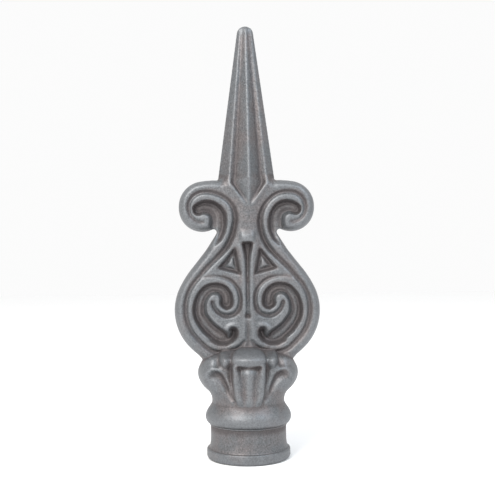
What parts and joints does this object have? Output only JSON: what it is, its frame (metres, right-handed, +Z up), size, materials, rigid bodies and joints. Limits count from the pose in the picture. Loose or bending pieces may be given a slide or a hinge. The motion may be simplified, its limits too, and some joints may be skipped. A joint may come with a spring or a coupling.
{
  "type": "fence finial",
  "caption": "Cast iron railing head with a spear point, paired scrolls and a leaf capital on a turned collar, socketed to slip over the top of a round fence bar.",
  "frame": {"origin": "middle of the flange's flat underside, on the axis of the collar and socket", "axes": "+Z up along the axis towards the spear's tip, X across the scroll panel, -Y towards the face shown in the picture"},
  "size_m": [0.0726, 0.0428, 0.2151],
  "materials": {
    "cast_iron": "raw tumbled sand-cast iron, satin grey with faint brown and blue-green mottling"
  },
  "bodies": {
    "root": {"railing_head": "cast_iron"}
  },
  "joints": []
}
